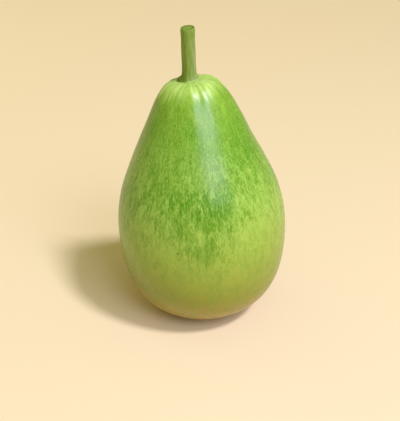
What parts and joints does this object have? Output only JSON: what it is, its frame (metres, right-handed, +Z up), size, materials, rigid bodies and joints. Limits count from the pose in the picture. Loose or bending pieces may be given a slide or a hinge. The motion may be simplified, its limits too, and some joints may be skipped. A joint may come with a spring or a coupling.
{
  "type": "bottle gourd",
  "caption": "Whole pear-shaped bottle gourd with waxy mottled green skin, a ribbed crown and its cut stem, standing on its blossom end.",
  "frame": {"origin": "on the surface that the gourd rests on, under the middle of its box", "axes": "+Z up from the blossom end to the stem; -Y is the side towards the picture's camera; the crown leans a little to -X"},
  "size_m": [0.1457, 0.1448, 0.2503],
  "materials": {
    "skin": "waxy satin",
    "stem": "matte"
  },
  "bodies": {
    "root": {"fruit": "skin", "stem": "stem"}
  },
  "joints": []
}
